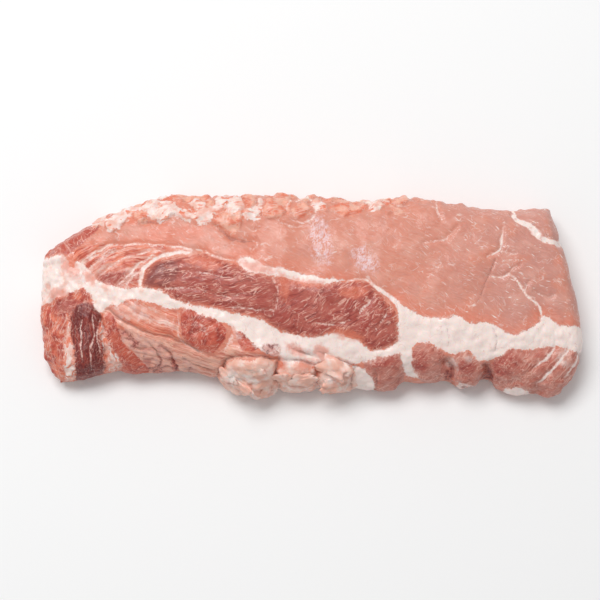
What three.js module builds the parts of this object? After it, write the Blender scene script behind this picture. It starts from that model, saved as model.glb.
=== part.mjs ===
// A raw rack of pork back ribs, with the meat side up: one slab, about three times as long as it is wide.
// Millimetres, +Z up. X runs along the slab, with its blade end at -X. Y runs across it, along the ribs, with
// their trimmed ends at -Y, the front. The origin is at the middle of the box round the slab, on the surface
// that it rests on.
//
// The slab is a pillow between two skins that meet along its outline at mid height. The top skin carries the
// lie of the muscles, and the underside carries the ribs, as flat-footed ridges with grooves between them.

import * as THREE from "three";
import { mergeGeometries, mergeVertices } from "three/addons/utils/BufferGeometryUtils.js";

// Driving dimensions
const LENGTH = 365;
const WIDTH = 136;
const THICKNESS = 43;

// The ribs, as they show on the underside
const RIB_COUNT = 13;
const RIB_PITCH = LENGTH / RIB_COUNT;
const RIB_FLAT = 13; // width of the flat that each rib rests on
const RIB_BOW = 7; // how far a rib's two ends lean along the slab from its middle
const GROOVE_DEPTH = 3.5;

// How far the rounding of each edge reaches over the top, and under the slab all round
const FRONT_ROUND = 27;
const BACK_ROUND = 17;
const BLADE_END_ROUND = 17;
const LOIN_END_ROUND = 10;
const UNDER_ROUND = 9;
const OUTLINE_HEIGHT = 0.36; // height of the outline, as a share of the slab's thickness there

// Skins: cells along and across, and how much closer the cells lie at the edges than in the middle
const CELLS_ALONG = 84;
const CELLS_ACROSS = 24;
const CROWDING = 0.72;

// The plan. Points are [along, across] as shares of the length and the width, from the front corner of the
// blade end.
const FRONT_BLADE_CORNER = [0.035, 0.055];
const FRONT_LOIN_CORNER = [0.962, 0.045];
const BACK_BLADE_CORNER = [0.004, 0.7];
const BACK_LOIN_CORNER = [0.945, 0.938];

const BACK_EDGE = [
  BACK_BLADE_CORNER,
  [0.085, 0.845],
  [0.16, 0.935],
  [0.225, 0.985],
  [0.37, 1.0],
  [0.5, 0.992],
  [0.596, 0.966],
  [0.64, 0.984],
  [0.73, 0.976],
  [0.81, 0.935],
  [0.88, 0.932],
  BACK_LOIN_CORNER,
];
const BLADE_END = [
  FRONT_BLADE_CORNER,
  [0.009, 0.2],
  [0.0, 0.37],
  [0.002, 0.56],
  BACK_BLADE_CORNER,
];
const LOIN_END = [
  FRONT_LOIN_CORNER,
  [0.99, 0.15],
  [1.0, 0.29],
  [0.988, 0.53],
  [0.965, 0.76],
  BACK_LOIN_CORNER,
];

// The front edge runs from one gap between two rib ends to the next: each entry is the gap's place and how
// far the meat bulges between it and the gap before it.
const FRONT_GAPS = [
  { at: FRONT_BLADE_CORNER, bulge: 0 },
  { at: [0.147, 0.127], bulge: 0.004 },
  { at: [0.294, 0.116], bulge: 0.012 },
  { at: [0.336, 0.076], bulge: 0.006 },
  { at: [0.442, 0.046], bulge: 0.056 },
  { at: [0.508, 0.052], bulge: 0.016 },
  { at: [0.579, 0.05], bulge: 0.028 },
  { at: [0.673, 0.082], bulge: 0.042 },
  { at: [0.737, 0.094], bulge: 0.036 },
  { at: [0.815, 0.088], bulge: 0.062 },
  { at: [0.912, 0.026], bulge: 0.04 },
  { at: FRONT_LOIN_CORNER, bulge: 0.036 },
];
const BULGE_FULLNESS = 0.75; // below 1, a bulge is fuller than an arch

// Thickness across the slab, front to back, and along it, blade end to loin end, as shares of THICKNESS
const THICK_ACROSS = [0.66, 0.84, 0.96, 1.0, 0.97, 0.9];
const THICK_ALONG = [0.8, 0.92, 0.99, 1.0, 0.98, 0.97, 0.92];

// Soft swells and hollows of the top: centre as [along, across], reach along and across in millimetres, and
// height in millimetres.
const SWELLS = [
  { at: [0.34, 0.56], reach: [62, 16], height: 2.2 }, // the dark blade muscle
  { at: [0.6, 0.4], reach: [34, 18], height: 2.4 }, // its round end
  { at: [0.4, 0.13], reach: [17, 13], height: 6.5 }, // the loose lump of fat at the front
  { at: [0.22, 0.17], reach: [30, 12], height: -5 }, // the hollow under the blade-end silverskin
  { at: [0.31, 0.3], reach: [17, 13], height: 2.6 }, // the red muscle in front of the dark one
  { at: [0.76, 0.3], reach: [24, 9], height: 2.4 }, // the fat cap along the loin
  { at: [0.87, 0.27], reach: [18, 8], height: 2.2 },
  { at: [0.69, 0.24], reach: [3.5, 16], height: -3 }, // the crease between the two halves
  { at: [0.06, 0.3], reach: [12, 26], height: -2.5 }, // the cut blade-end face
  { at: [0.52, 0.95], reach: [45, 9], height: -2 }, // the trimmed chine side
  { at: [0.84, 0.6], reach: [10, 22], height: -1.3 }, // the shallow fold in the loin
];
const RIB_END_SWELL = { inset: 0.075, reach: [10, 10], height: 2.6 };

const RAW_MEAT = { colour: 0xd98f80, roughness: 0.45 };

// A curve through points that are given as shares of the length and the width
function planCurve(points) {
  return new THREE.SplineCurve(points.map(([along, across]) => new THREE.Vector2(along * LENGTH, across * WIDTH)));
}

const backEdge = planCurve(BACK_EDGE);
const bladeEnd = planCurve(BLADE_END);
const loinEnd = planCurve(LOIN_END);

// The scalloped front edge, at a share of the way from the blade end to the loin end
function frontEdge(share) {
  const along = THREE.MathUtils.lerp(FRONT_BLADE_CORNER[0], FRONT_LOIN_CORNER[0], share);
  const next = Math.max(1, FRONT_GAPS.findIndex((gap) => gap.at[0] >= along - 1e-9));
  const [from, to] = [FRONT_GAPS[next - 1], FRONT_GAPS[next]];
  const way = THREE.MathUtils.clamp((along - from.at[0]) / (to.at[0] - from.at[0]), 0, 1);
  const bulge = to.bulge * Math.sin(Math.PI * way) ** BULGE_FULLNESS;
  const across = THREE.MathUtils.lerp(from.at[1], to.at[1], way) - bulge;
  return new THREE.Vector2(along * LENGTH, across * WIDTH);
}

// A point of the plan, blended from the four edges and the four corners (a Coons patch)
function planPoint(u, v) {
  const edges = [
    frontEdge(u).multiplyScalar(1 - v),
    backEdge.getPointAt(u).multiplyScalar(v),
    bladeEnd.getPointAt(v).multiplyScalar(1 - u),
    loinEnd.getPointAt(v).multiplyScalar(u),
  ];
  const corners = [
    bladeEnd.getPoint(0).multiplyScalar((1 - u) * (1 - v)),
    bladeEnd.getPoint(1).multiplyScalar((1 - u) * v),
    loinEnd.getPoint(0).multiplyScalar(u * (1 - v)),
    loinEnd.getPoint(1).multiplyScalar(u * v),
  ];
  const point = edges.reduce((sum, edge) => sum.add(edge), new THREE.Vector2());
  return corners.reduce((rest, corner) => rest.sub(corner), point);
}

// A smooth reading of a list of values that are evenly spaced from 0 to 1
function readAlong(values, share) {
  const curve = new THREE.SplineCurve(values.map((value, i) => new THREE.Vector2(i / (values.length - 1), value)));
  return curve.getPoint(THREE.MathUtils.clamp(share, 0, 1)).y;
}

// One soft mound, as high as its height at its centre
function mound({ at, reach, height }, x, y) {
  const dx = (x - at[0] * LENGTH) / reach[0];
  const dy = (y - at[1] * WIDTH) / reach[1];
  return height * Math.exp(-(dx * dx + dy * dy));
}

// A mound over each bulge of the front edge
const ribEndSwells = FRONT_GAPS.slice(1).map((gap, i) => {
  const before = FRONT_GAPS[i];
  return {
    at: [(before.at[0] + gap.at[0]) / 2, (before.at[1] + gap.at[1]) / 2 + RIB_END_SWELL.inset],
    reach: RIB_END_SWELL.reach,
    height: RIB_END_SWELL.height,
  };
});

function topHeight(x, y) {
  const thickness = THICKNESS * readAlong(THICK_ACROSS, y / WIDTH) * readAlong(THICK_ALONG, x / LENGTH);
  return [...SWELLS, ...ribEndSwells].reduce((height, swell) => height + mound(swell, x, y), thickness);
}

// Zero under a rib, and up to GROOVE_DEPTH between two ribs
function undersideHeight(x, y) {
  const lean = (2 * y) / WIDTH - 1;
  const place = (x - RIB_BOW * lean * lean) / RIB_PITCH;
  const fromRib = Math.abs(place - Math.floor(place) - 0.5) * RIB_PITCH;
  return GROOVE_DEPTH * THREE.MathUtils.smoothstep(fromRib, RIB_FLAT / 2, RIB_PITCH / 2);
}

// A quarter round: 0 at the edge, 1 at its reach and beyond
function roundOver(distance, reach) {
  const left = 1 - Math.min(distance / reach, 1);
  return Math.sqrt(1 - left * left);
}

// Shares from 0 to 1 that lie closer together near both ends
function crowded(share) {
  return share - (CROWDING * Math.sin(2 * Math.PI * share)) / (2 * Math.PI);
}

// One skin of the slab, as a plane of cells bent to shape
function skin(isTop) {
  const geometry = new THREE.PlaneGeometry(1, 1, CELLS_ALONG, CELLS_ACROSS);
  const position = geometry.getAttribute("position");
  const rounds = isTop
    ? [BLADE_END_ROUND, LOIN_END_ROUND, FRONT_ROUND, BACK_ROUND]
    : [UNDER_ROUND, UNDER_ROUND, UNDER_ROUND, UNDER_ROUND];
  for (let i = 0; i < position.count; i++) {
    const u = crowded(position.getX(i) + 0.5);
    const v = crowded(position.getY(i) + 0.5);
    const { x, y } = planPoint(u, v);
    const top = topHeight(x, y);
    const outline = OUTLINE_HEIGHT * top;
    const distances = [u * LENGTH, (1 - u) * LENGTH, v * WIDTH, (1 - v) * WIDTH];
    const share = distances.reduce((product, distance, side) => product * roundOver(distance, rounds[side]), 1);
    const height = isTop ? top : undersideHeight(x, y);
    position.setXYZ(i, x, y, outline + (height - outline) * share);
  }
  if (!isTop) geometry.index.array.reverse(); // turns each face over, so that it points down
  geometry.deleteAttribute("normal");
  geometry.deleteAttribute("uv");
  return geometry;
}

// Both skins joined along the outline, and centred over the origin
function slab() {
  const geometry = mergeVertices(mergeGeometries([skin(true), skin(false)]), 1e-3);
  geometry.computeBoundingBox();
  const size = geometry.boundingBox.getSize(new THREE.Vector3());
  geometry.scale(LENGTH / size.x, WIDTH / size.y, THICKNESS / size.z);
  geometry.computeBoundingBox();
  const middle = geometry.boundingBox.getCenter(new THREE.Vector3());
  geometry.translate(-middle.x, -middle.y, -geometry.boundingBox.min.z);
  geometry.computeVertexNormals();
  return geometry;
}

const rack = new THREE.Mesh(
  slab(),
  new THREE.MeshStandardMaterial({ color: RAW_MEAT.colour, roughness: RAW_MEAT.roughness, metalness: 0 }),
);
rack.name = "rack";

const part = new THREE.Group();
part.add(rack);

export default part;
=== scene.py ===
"""A raw rack of pork back ribs, meat side up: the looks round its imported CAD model.

Metres, +Z up, in the frame of the CAD: X along the slab from its blade end to its loin end, Y across it from
the trimmed rib ends to the chine side. The slab starts from a copy of the CAD slab. Its muscles, fat and
seams are outlines and strokes laid over it, which shape its skin and are kept on it as attributes, in
millimetres, for its material to colour.
"""

import math
import random

import bmesh
import bpy
import numpy as np
from mathutils import Matrix, Vector, noise


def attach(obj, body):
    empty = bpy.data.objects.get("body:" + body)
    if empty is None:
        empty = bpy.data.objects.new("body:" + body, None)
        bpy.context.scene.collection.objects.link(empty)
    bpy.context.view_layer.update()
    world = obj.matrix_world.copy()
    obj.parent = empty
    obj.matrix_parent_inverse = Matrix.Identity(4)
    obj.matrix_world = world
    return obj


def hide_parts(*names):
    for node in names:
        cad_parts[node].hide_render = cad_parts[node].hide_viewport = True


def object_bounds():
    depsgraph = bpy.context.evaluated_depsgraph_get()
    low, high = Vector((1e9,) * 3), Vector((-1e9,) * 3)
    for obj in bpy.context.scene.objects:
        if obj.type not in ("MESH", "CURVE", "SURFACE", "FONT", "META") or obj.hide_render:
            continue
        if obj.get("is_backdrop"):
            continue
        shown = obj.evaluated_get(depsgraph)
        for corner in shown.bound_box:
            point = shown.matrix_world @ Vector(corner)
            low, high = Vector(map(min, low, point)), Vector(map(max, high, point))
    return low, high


bl_info = {
    "name": "Raw Rack of Ribs",
    "version": (1, 0, 0),
    "blender": (4, 5, 0),
    "location": "View3D > Sidebar > Ribs",
    "description": "Builds a raw rack of pork ribs, its trimmings and a stage round its CAD model",
    "category": "Add Mesh",
}

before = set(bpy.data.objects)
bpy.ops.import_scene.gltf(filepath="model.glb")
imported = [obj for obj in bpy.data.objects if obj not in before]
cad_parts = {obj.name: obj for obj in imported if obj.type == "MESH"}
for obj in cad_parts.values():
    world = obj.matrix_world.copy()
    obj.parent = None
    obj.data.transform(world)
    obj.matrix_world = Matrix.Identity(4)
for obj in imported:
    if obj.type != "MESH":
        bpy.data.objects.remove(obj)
CAD_LOW, CAD_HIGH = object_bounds()
LENGTH, WIDTH = (CAD_HIGH - CAD_LOW)[:2]
MM = 0.001

# The ribs, as in the CAD model
RIB_COUNT = 13
RIB_PITCH = LENGTH / RIB_COUNT
RIB_BOW = 7 * MM

# The eye that the outlines are laid out for: how high it stands over the front, how far away it is, and what
# it looks at
EYE_ELEVATION = math.radians(80)
EYE_DISTANCE = 1.122
EYE_TARGET = Vector((-0.0074, -0.0045, 0.02))
EYE_BACK = Vector((0, -math.cos(EYE_ELEVATION), math.sin(EYE_ELEVATION)))
EYE_UP = Vector((0, math.sin(EYE_ELEVATION), math.cos(EYE_ELEVATION)))

REACH = 30 * MM  # how far from an outline its depth is measured
CURVE_STEPS = 4  # samples between two points of an outline
TAPER = 7 * MM  # over which a stroke narrows to its end
WELD = 0.01 * MM  # how near two corners of the CAD slab are one
TOP_LEAN = -0.1  # the top is what faces up more than this
TOP_CUTS = 2
TOP_SMOOTHINGS = 3
PATCH_SIZE = 11 * MM  # of the fat and thin muscle on the back wall
PATCH_DEPTH = 13 * MM
PATCH_LIMIT = 1.5 * MM  # the higher, the less fat there
UNDER_HEIGHT = 6 * MM  # how high up the walls the skin of the underside reaches
UNDER_FADE = 8 * MM  # how much lower it stays where the wall faces up

# The loose crumbs of fat on the lumps at the front
TRIMMING_COUNT = 8
TRIMMING_GAP = 10 * MM
TRIMMING_HALF_SIZES = (9.5 * MM, 5.5 * MM, 1.9 * MM)
TRIMMING_SPREAD = (0.75, 1.2)  # how much smaller or larger one may be
TRIMMING_STRETCH = (0.85, 1.15)  # the same along each of its axes
TRIMMING_TURN = 0.5
TRIMMING_BUMPS = ((0.5, 1.1), (0.3, 2.4), (0.14, 5.5))  # how far each swells it, and how fine it is
TRIMMING_WARP = 0.35
TRIMMING_SINK = 0.55  # how much of its half thickness is sunk into the slab
TRIMMING_FACING = 0.25  # how far up the skin under one faces
TRIMMING_INSIDE = 2.5  # how far inside a lump one lies, in millimetres
TRIMMING_LOWEST = 3 * MM  # its middle's height over the floor
FLOOR_GAP = 0.2 * MM

FLOOR_HALF_SIZE = 3.0
KEY_PLACE = Vector((-0.62, 0.98, 2.15))
KEY_SIZE = (1.5, 1.0)


# Outlines of muscles and fat, as (along, across) in percent of the slab as the eye sees it, from the front
# corner of the blade end. Each layer has one or more.
OUTLINES = {
    "fan": [
        [(6.5, 73), (9.2, 75), (12.7, 76), (17.5, 76), (21.4, 75.5), (23.2, 73.5), (20.3, 65.5), (18.3, 54),
         (13.7, 54.5), (10.7, 56), (7.4, 62.5), (6.1, 67.5)],
    ],
    "blade": [
        [(18.6, 55), (19, 61.5), (20.7, 66.5), (23.1, 68.5), (26.8, 70), (30.1, 71.5), (31.7, 69.5),
         (36.5, 65), (41, 61), (46.1, 58), (51.3, 56), (56.3, 57.5), (60, 57), (62.7, 51.5), (65.3, 42),
         (66.2, 35.5), (66.1, 28), (64, 23), (60.9, 23), (58.7, 27), (56.3, 29.5), (54.1, 31.5), (50.2, 29),
         (45, 31.5), (42.8, 35), (40.2, 38.5), (37.1, 41), (33.6, 42.5), (30.4, 45), (26.4, 47), (23.6, 50),
         (21.2, 53)],
    ],
    "blade_tip": [
        [(18.8, 54.5), (19.2, 61.5), (20.7, 66), (23.2, 67.5), (25.1, 66), (25.3, 61.5), (24.4, 56.5),
         (22.1, 54)],
    ],
    "end_face": [
        [(0.6, 45.5), (1.5, 48.5), (3, 51.5), (4.4, 52.5), (5.2, 56.5), (5.9, 52.5), (6.6, 55.5), (7.7, 57),
         (8.5, 53.5), (9.2, 54.5), (10, 48.5), (11.3, 41.5), (12.5, 31.5), (14.4, 21.5), (15.1, 15.5),
         (12.9, 7.5), (9.6, 4.5), (6.5, 2.5), (3.3, 2.5), (0, 6.5), (-1, 21.5), (-1.4, 34)],
    ],
    "edge_strip": [
        [(-0.6, 69.5), (1.1, 75), (3, 79), (5.5, 83), (8.1, 88), (10.3, 92), (12.2, 94), (13.3, 91),
         (11.4, 87.5), (10.3, 82.5), (8.1, 77.5), (7, 74.5), (5.5, 71.5), (3.3, 70.5)],
    ],
    "cross_grain": [
        [(6.6, 45), (9.6, 45.5), (11.1, 40), (10.5, 32.5), (11.3, 25.5), (11.8, 13.5), (9.6, 8.5), (6.6, 7),
         (6.1, 21.5), (5.4, 31.5), (5.7, 39.5)],
    ],
    "reds": [
        [(11.8, 40.5), (13.3, 39.5), (14.6, 29), (16.2, 23), (18.6, 17.5), (20.1, 10.5), (16.2, 7),
         (14.4, 15.5), (13.3, 24), (12.2, 32.5)],
        [(25.8, 42.5), (28, 43), (30.6, 39.5), (33.2, 37), (34.1, 31.5), (33.8, 26), (32.4, 22.5),
         (30.4, 22), (27.9, 24.5), (26.3, 29)],
        [(46.2, 25.5), (48.3, 25), (49.8, 22), (49, 20), (47, 22.5)],
        [(50.6, 24.5), (52.2, 22.5), (52.9, 18.5), (51.4, 18.5)],
        [(36, 33.5), (37.3, 32), (38.3, 28.5), (39.9, 26.5), (40.8, 24), (39.3, 22), (37.3, 23),
         (36.1, 27.5)],
    ],
    "front_reds": [
        [(59.8, 11), (59.6, 17.5), (61.6, 19.5), (64.2, 20.5), (66.1, 21.5), (67, 15.5), (66.8, 2),
         (64.9, -4), (62.4, -4), (60.9, 1.5)],
        [(68.5, 20.5), (69.7, 25.5), (71.8, 26), (73.8, 22.5), (75.1, 17.5), (74.9, 10.5), (73.1, 4.5),
         (70.8, 5.5), (69, 13)],
        [(76, 18.5), (77.9, 22), (79.3, 21.5), (80.4, 17.5), (82.7, 15.5), (82.3, 9.5), (80.4, 3.5),
         (77.9, 4), (76.2, 9.5)],
        [(82.3, 13.5), (83.8, 16.5), (85.4, 20.5), (87.1, 23), (90, 22.5), (93.9, 24), (95.9, 22.5),
         (97.8, 23), (101, 20), (102, 10.5), (97, -2), (93.2, -6), (88.6, -6), (84.9, -4), (82.7, 2.5)],
    ],
    "back_reds": [
        [(16.8, 93.5), (18.3, 97.5), (19.6, 97), (19.9, 90), (18.6, 86), (17.2, 89)],
        [(24.4, 97.5), (26.6, 102), (30.3, 102), (32.1, 98), (31, 95), (28.8, 95), (26.9, 96)],
        [(32.1, 90), (34.3, 92.5), (36.7, 93), (37.6, 89.5), (36.7, 84.5), (35.6, 79.5), (33.8, 82.5),
         (32.1, 85.5)],
        [(37.5, 100.5), (39.5, 102), (41, 97.5), (40.4, 94), (38.4, 94)],
        [(41, 99.5), (43.5, 102), (46.5, 101), (46.3, 94), (44.6, 90), (42.1, 89.5), (41, 92.5)],
        [(46.3, 91.5), (46.5, 95.5), (47.8, 97.5), (49.4, 97), (50, 94), (49.4, 90.5), (47.8, 89.5)],
        [(54.2, 100.5), (56.5, 101), (59, 98), (59.2, 93), (57.2, 91), (55, 92.5)],
        [(63.1, 99.5), (65.7, 101), (67.9, 98), (67.5, 93), (65.3, 92), (63.5, 94)],
    ],
    "orange": [
        [(12.4, 46), (15.1, 48), (19.4, 47), (21.8, 43), (25.1, 42), (25.8, 31.5), (25.5, 27.5),
         (22.1, 29.5), (18.5, 33.5), (14.8, 39.5)],
    ],
    "silverskin": [
        [(13.3, 32.5), (14.8, 33.5), (17.5, 31), (20.3, 28.5), (23.1, 24), (26.2, 18.5), (28.8, 14),
         (28.8, 2), (25.8, 2), (22.1, 4), (19.6, 7), (17, 21.5), (14.4, 27.5)],
    ],
    "tan": [
        [(9.6, 48), (12.4, 44.5), (14.8, 39), (18.5, 32.5), (22.1, 28.5), (25.8, 26.5), (28.8, 21.5),
         (31.7, 19.5), (35.4, 25.5), (37.8, 21.5), (43.9, 18.5), (43.7, 15.5), (36.9, 18.5), (33.6, 13.5),
         (33.2, 0.5), (30.4, 2.5), (28.8, 10.5), (26.2, 16.5), (23.1, 23), (19.9, 28.5), (17, 31.5),
         (14.4, 35.5), (11.8, 40.5)],
    ],
    "gristle": [
        [(4.6, 40.5), (5.2, 39), (5.4, 30.5), (6.1, 23.5), (6.3, 15.5), (6.5, 8), (5.5, 6), (4.4, 8.5),
         (3.9, 16.5), (3.9, 23), (4.4, 29.5)],
        [(10.5, 34), (11.4, 34.5), (12.2, 27.5), (13.5, 21.5), (14.6, 17.5), (14.8, 14.5), (12.9, 11),
         (11.6, 15.5), (11.3, 21.5), (10.7, 27.5)],
    ],
    "fat": [
        [(-1, 48.5), (-1, 58.5), (-0.5, 65.5), (1.8, 69.5), (3.7, 70.5), (4.8, 69.5), (5.2, 65.5),
         (5.9, 63.5), (6.6, 67.5), (8.1, 65.5), (9.6, 62.5), (10.7, 56.5), (13.7, 54.5), (18.3, 54),
         (21.2, 53), (23.6, 50), (26.4, 47), (30.4, 44.5), (33.6, 42), (37.1, 40.5), (40.2, 38),
         (42.8, 34.5), (45, 31), (48, 29.5), (50.2, 28.5), (52, 24), (49.4, 20.5), (46.1, 21.5), (43.5, 20),
         (41, 21.5), (39.5, 25.5), (38.7, 27.5), (36.9, 31.5), (34.7, 35.5), (32.1, 38.5), (29.5, 40.5),
         (26.9, 44), (24.7, 43.5), (21.8, 45), (19.4, 47), (16.2, 48), (14.4, 45.5), (12.4, 44.5),
         (11.1, 42), (10, 43.5), (9.4, 47.5), (8.9, 51.5), (7.4, 53.5), (6.3, 52.5), (4.4, 50.5),
         (2.6, 48.5), (0, 45.5)],
        [(45, 31), (50.2, 28.5), (54.1, 31), (56.3, 29), (58.7, 26.5), (60.9, 22.5), (64, 22.5),
         (66.2, 27.5), (66.8, 24), (66.1, 20.5), (62.7, 19.5), (60.1, 17.5), (57.6, 14.5), (54.6, 15.5),
         (51.3, 14.5), (48, 13.5), (45.4, 14.5), (43.9, 18.5), (45, 24)],
        [(67.2, 45), (70.5, 40), (72.3, 39), (75.6, 39), (76.8, 41), (79.3, 37), (83.4, 35.5), (85.6, 32),
         (87.6, 30.5), (90.2, 33), (92.1, 36), (92.4, 39.5), (93.7, 40), (96.3, 34.5), (102, 32.5),
         (101, 20.5), (97.6, 23.5), (93.7, 24.5), (89.9, 23), (86.9, 23), (85.2, 19.5), (82.5, 17.5),
         (80.6, 18), (79.3, 22.5), (78, 22.5), (76, 20), (74.2, 23), (71.8, 26), (69.6, 26), (68.5, 21.5),
         (68.8, 13.5), (70.1, 9.5), (67.7, 9.5), (66.8, 15.5), (66.4, 24), (66.2, 34), (65.9, 43.5),
         (65.3, 48.5)],
        [(36.5, 68.5), (38.7, 69.5), (40.6, 66), (43.4, 64.5), (46.1, 63), (49.6, 60.5), (52.6, 59),
         (56.3, 58), (51.3, 56), (48, 57), (44.3, 59.5), (41, 61), (38, 63), (36.3, 65.5)],
        [(57.4, 12.5), (58.7, 14), (60.1, 11.5), (61.6, 6.5), (61.3, -2), (59, -4), (57.6, 3.5)],
        [(76.5, 3), (78.5, 5.5), (81, 3.5), (81.5, -3), (79, -6), (76.5, -4)],
        [(85.5, 2.5), (87.5, 4), (90, 2.5), (91, -4), (87, -6), (84, -5)],
        [(69.5, 3.5), (72, 5), (74.5, 3), (74, -5), (70, -5)],
    ],
    "flaps": [
        [(10.7, 86.5), (11.8, 89.5), (13.3, 93.5), (15.1, 96), (16.8, 97.5), (17.5, 93), (16.2, 89.5),
         (14.8, 85.5), (12.9, 82.5), (11.8, 83.5)],
        [(19.2, 97.5), (20.7, 100), (22.1, 101.5), (24, 99), (25.8, 94), (28, 92.5), (28.2, 89.5),
         (26.6, 88), (24.4, 90.5), (22.5, 88), (20.7, 89), (19.7, 92.5)],
        [(26.9, 92), (29.5, 94.5), (32.1, 96.5), (33.6, 101.5), (36.2, 102.5), (37.5, 98.5), (37.3, 93.5),
         (35.4, 91.5), (33.6, 92), (31.7, 89.5), (30.3, 86.5), (28.4, 88)],
        [(37.1, 93), (39.1, 93.5), (41, 92.5), (40.2, 89), (38.7, 88.5), (37.3, 90)],
        [(50.2, 101.5), (52, 100.5), (53.9, 96.5), (54.1, 93.5), (52.4, 93), (50.6, 95)],
        [(59.4, 96), (60.5, 98.5), (62.4, 101), (64.4, 101.5), (64.6, 98), (62, 96), (60.5, 94)],
    ],
    "lumps": [
        [(33, 2.5), (33.6, 12.5), (34.7, 16), (36.3, 18), (38.5, 17), (40, 18.5), (42.1, 17.5),
         (43.7, 14.5), (43.2, 8.5), (44, 1.5), (41, -5), (37.8, -6), (34, -4)],
        [(42.8, 9.5), (44.3, 13.5), (47, 16), (49.8, 14.5), (51.1, 9.5), (50.6, 0.5), (48, -5), (45.2, -5),
         (43.2, 0.5)],
        [(51.3, 9.5), (52, 13.5), (54.4, 16.5), (56.8, 15), (58.3, 10.5), (57.9, 1.5), (55.7, -5),
         (53.1, -5), (51.4, 2.5)],
    ],
}

# Strokes: a line as an outline's points are given, and its width in millimetres
SEAMS = [
    ([(6.8, 65.5), (9.6, 71.5), (12.7, 75.5), (17.2, 76), (21.4, 75.5), (25.8, 74.5), (30.1, 72.5),
      (32.1, 69.5), (36.5, 67), (40.6, 64), (45.8, 61), (49.8, 59.5), (55.4, 57.5), (59.2, 58.5),
      (63, 53.5)], 1.2),
    ([(60.5, 56.5), (64.2, 50.5), (65.9, 45), (66.7, 36.5), (66.5, 29), (64.9, 22.5), (60, 20)], 3.1),
    ([(13.7, 55), (16.2, 61.5), (18.5, 67.5), (22.4, 74)], 1.4),
    ([(18.3, 53), (18.4, 61.5), (20, 67), (22.7, 70.5), (28, 72.5)], 2.9),
    ([(6, 62.5), (9.2, 69.5), (13.5, 74)], 1.1),
    ([(8.8, 64.5), (11.8, 70.5), (15.4, 74.5)], 0.9),
    ([(10.4, 59.5), (13.3, 66.5), (17, 70.5), (21.3, 74.5)], 1.1),
    ([(15.2, 54.5), (16.8, 60), (19.3, 64.8)], 0.9),
    ([(42.3, 62), (43.7, 54), (43.7, 49.5), (43, 40)], 0.6),
    ([(87, 95), (88.2, 88.5), (90.4, 85.5), (93, 79), (98.5, 75)], 4.1),
    ([(85.2, 84.5), (85.1, 77.5), (84.9, 73.5), (82.6, 69.5)], 1.6),
    ([(82.2, 61), (85.2, 59.5), (87.1, 60), (89.7, 51.5), (92.4, 43.5), (92.4, 37.5)], 1.6),
    ([(25.1, 44.5), (25.3, 36.5), (25.6, 28.5), (27.7, 23), (31.4, 19.5)], 1.0),
    ([(21.2, 53), (23.6, 53.5), (26.2, 54), (30.5, 52)], 0.8),
    ([(30.5, 51.5), (33.5, 50), (37, 50.5), (38.5, 52)], 0.6),
    ([(34, 45), (37.5, 43.5), (40, 42.5), (43, 43)], 1.1),
    ([(58.4, 39), (59.8, 44.5), (61.4, 49.5)], 2.0),
    ([(98.3, 24.5), (95.9, 16.5), (93.7, 10.5), (91.5, 6)], 2.2),
    ([(95.4, 25), (93.7, 18.5), (91, 13.5)], 2.0),
    ([(100, 24), (98.7, 16), (96.5, 9)], 1.6),
    ([(73, 99), (73, 94), (74, 88)], 1.1),
    ([(60.5, 96.5), (62.5, 97.5), (66, 95.5), (68.5, 96)], 0.9),
    ([(77, 85), (75, 79), (73, 77.5), (70.5, 76.5)], 0.7),
    ([(45.2, 91.5), (45.8, 96.5), (47.5, 99.5), (49.6, 99), (50.7, 95.5), (50.4, 90.5), (48.6, 87.5),
      (46.4, 88.5)], 1.2),
    ([(44.5, 87), (46.5, 85), (49, 86)], 0.9),
    ([(34.4, 38.5), (35.2, 33), (35, 27.5), (34, 21)], 1.2),
    ([(88.7, 66), (87.3, 63.5), (86.6, 60)], 1.0),
    ([(90.4, 57), (89.7, 52), (91.5, 49)], 1.0),
    ([(83, 71.5), (85, 72.5), (87.5, 71)], 0.9),
    ([(50.5, 36.5), (54, 35.5), (57, 38)], 0.9),
    ([(61.5, 33), (63.5, 38), (64.4, 44)], 0.9),
    ([(26.5, 62), (31, 61), (36, 58.5)], 0.5),
    ([(28, 31), (30.5, 33.5), (32.5, 37)], 0.8),
    ([(28, 38), (30.3, 34), (31, 27)], 0.8),
    ([(37.2, 86), (38.8, 83), (40.5, 84)], 0.9),
    ([(38.5, 80), (40, 77), (39, 73)], 0.9),
    ([(91.5, 52), (93.5, 50), (95, 51)], 0.9),
    ([(7.6, 38), (7.2, 28), (7.6, 17)], 0.6),
    ([(9.4, 42), (9.7, 32), (9.1, 22), (9.4, 13)], 0.6),
    ([(10.9, 38.5), (10.2, 30), (10.9, 20)], 0.6),
]

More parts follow.
